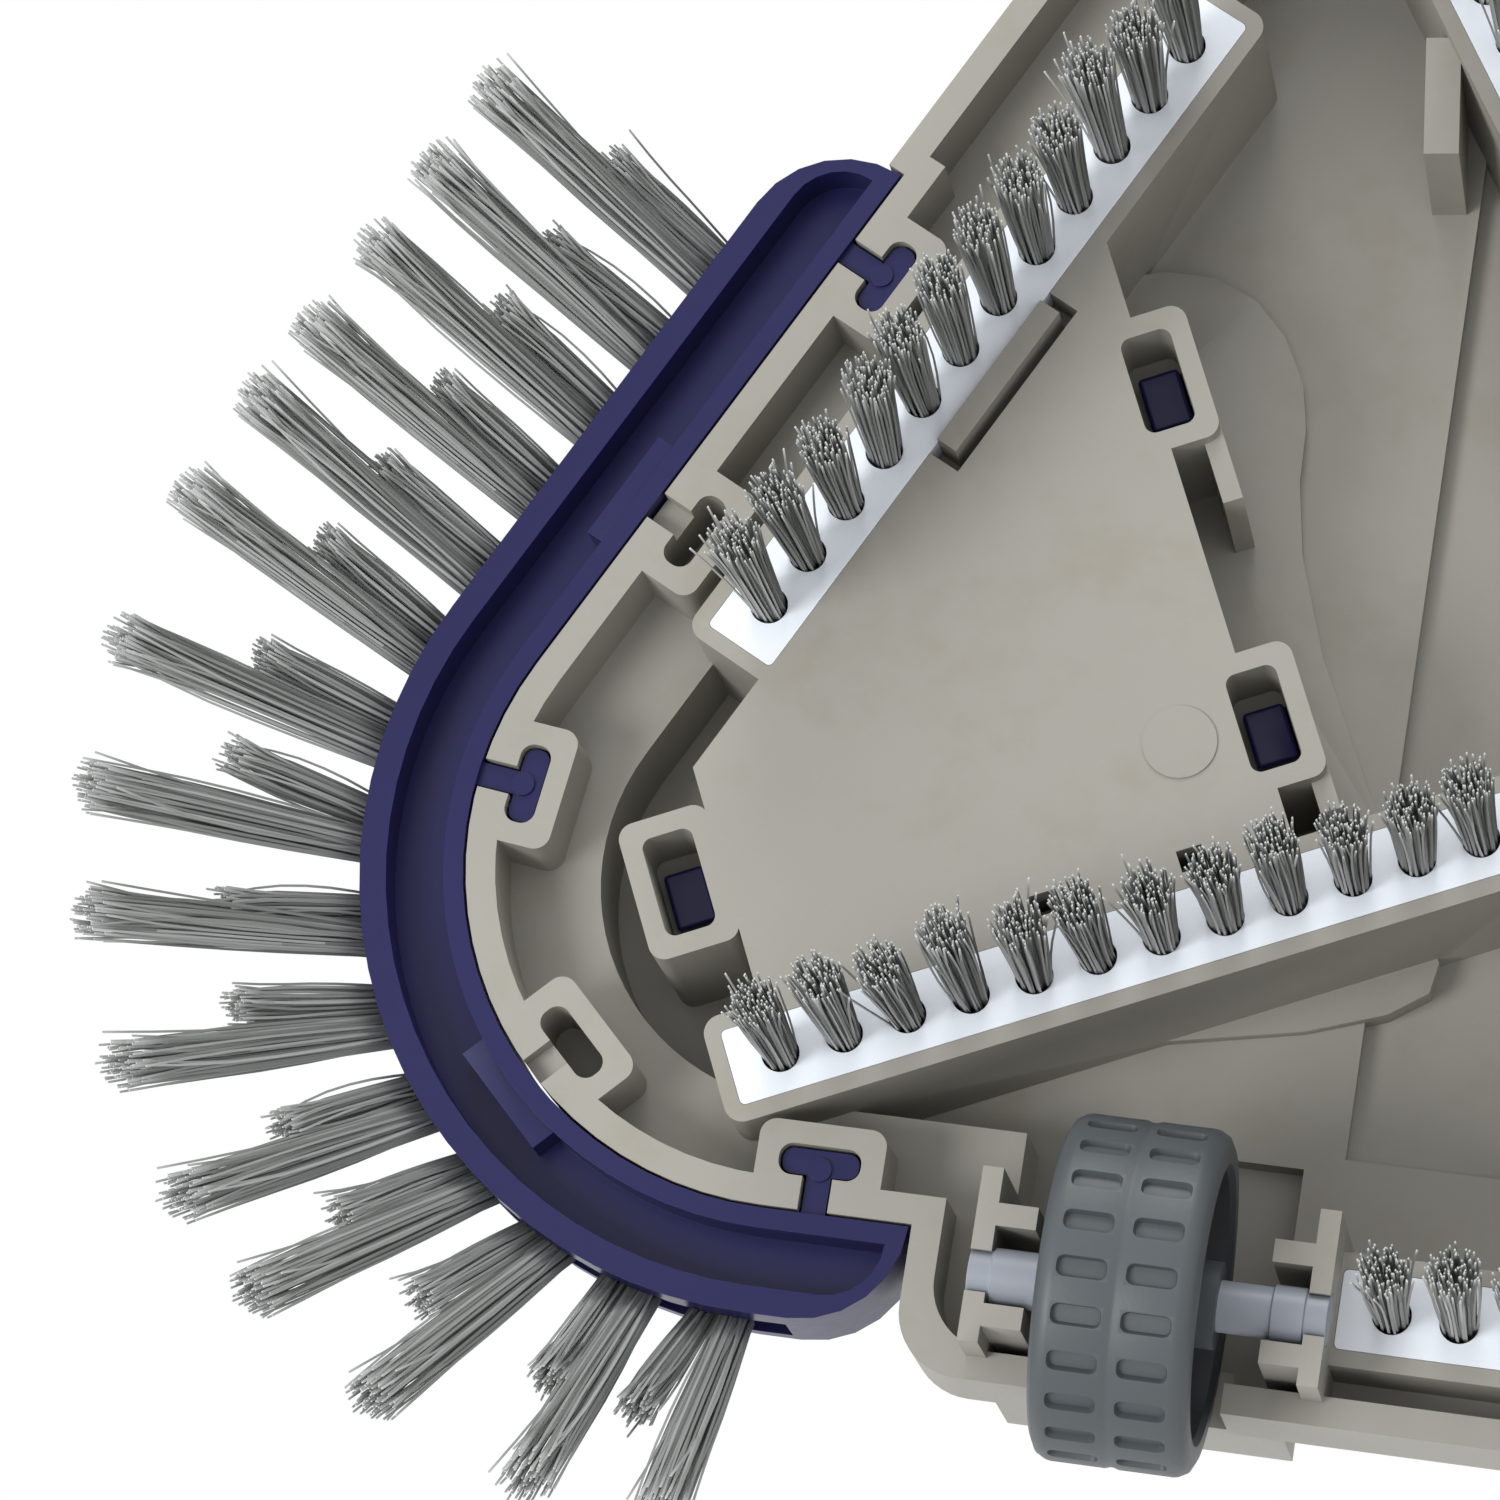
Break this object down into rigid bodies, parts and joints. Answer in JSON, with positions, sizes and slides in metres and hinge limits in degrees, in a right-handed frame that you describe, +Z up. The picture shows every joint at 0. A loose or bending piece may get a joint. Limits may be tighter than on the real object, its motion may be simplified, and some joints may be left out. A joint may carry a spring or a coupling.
{
  "type": "manual pool vacuum head",
  "caption": "Triangular pool vacuum head with corner bumpers, side bristles, brush strips and wheels underneath, a swivelling hose cuff and a tilting pole handle.",
  "frame": {"origin": "on the pool floor, under the middle of the whole head's bounding box with the handle laid back", "axes": "+Z up from the pool floor and out of the hose cuff, +Y towards the rear edge, where the rear wheels and the pole handle are, -Y towards the nose"},
  "size_m": [0.3678, 0.3834, 0.1233],
  "materials": {
    "shell": "moulded warm grey, satin",
    "bumper": "moulded navy blue, semi-gloss",
    "side_bristle": "grey nylon filament",
    "strip": "moulded white, satin",
    "bristle": "grey nylon filament",
    "wheel": "moulded slate grey, satin",
    "axle": "moulded grey, satin",
    "cover": "moulded navy blue, semi-gloss",
    "weight": "painted casting",
    "cuff": "moulded warm grey, satin",
    "ring": "moulded navy blue, semi-gloss",
    "seal": "black rubber",
    "screw": "stainless steel",
    "bracket": "moulded warm grey, satin",
    "handle": "moulded warm grey, satin",
    "spring_steel": "spring steel strip"
  },
  "bodies": {
    "head": {"base_shell": "shell", "bumper_left": "bumper", "bumper_right": "bumper", "bumper_front": "bumper", "side_bristles_left": "side_bristle", "side_bristles_right": "side_bristle", "side_bristles_front": "side_bristle", "side_strip_left": "strip", "side_strip_right": "strip", "inner_strip_left": "strip", "inner_strip_right": "strip", "front_strip_left": "strip", "front_strip_right": "strip", "rear_strip": "strip", "side_row_left": "bristle", "side_row_right": "bristle", "inner_row_left": "bristle", "inner_row_right": "bristle", "front_row_left": "bristle", "front_row_right": "bristle", "rear_row": "bristle", "cover_left": "cover", "cover_right": "cover", "weight_left": "weight", "weight_right": "weight", "swivel_ring": "ring", "swivel_seal": "seal", "ring_screws": "screw", "bracket_screws": "screw", "handle_pin": "screw", "handle_bracket": "bracket", "pin_clip": "spring_steel"},
    "wheel_left": {"wheel_left": "wheel", "axle_left": "axle"},
    "wheel_right": {"wheel_right": "wheel", "axle_right": "axle"},
    "wheel_front": {"wheel_front": "wheel", "axle_front": "axle"},
    "cuff": {"hose_cuff": "cuff"},
    "handle": {"handle": "handle", "clip_bend": "spring_steel"},
    "clip_left": {"clip_arm_left": "spring_steel"},
    "clip_right": {"clip_arm_right": "spring_steel"}
  },
  "joints": [
    {"name": "wheel_left_spin", "type": "hinge", "parent": "head", "child": "wheel_left", "pos_m": [-0.0645, 0.13289, 0.018], "axis": [1, 0, 0], "continuous": true},
    {"name": "wheel_right_spin", "type": "hinge", "parent": "head", "child": "wheel_right", "pos_m": [0.0645, 0.13289, 0.018], "axis": [1, 0, 0], "continuous": true},
    {"name": "wheel_front_spin", "type": "hinge", "parent": "head", "child": "wheel_front", "pos_m": [0, -0.09027, 0.018], "axis": [1, 0, 0], "continuous": true},
    {"name": "hose_swivel", "type": "hinge", "parent": "head", "child": "cuff", "pos_m": [0, 0.05939, 0.053], "axis": [0, 0, 1], "continuous": true},
    {"name": "handle_tilt", "type": "hinge", "parent": "head", "child": "handle", "pos_m": [0, 0.10149, 0.063], "axis": [1, 0, 0], "range_deg": [0, 60]},
    {"name": "clip_left", "type": "hinge", "parent": "handle", "child": "clip_left", "pos_m": [-0.003, 0.13786, 0.084], "axis": [0, 0.5, -0.866], "range_deg": [0, 5], "stiffness_Nm_per_rad": 0.6},
    {"name": "clip_right", "type": "hinge", "parent": "handle", "child": "clip_right", "pos_m": [0.003, 0.13786, 0.084], "axis": [0, -0.5, 0.866], "range_deg": [0, 5], "stiffness_Nm_per_rad": 0.6}
  ]
}
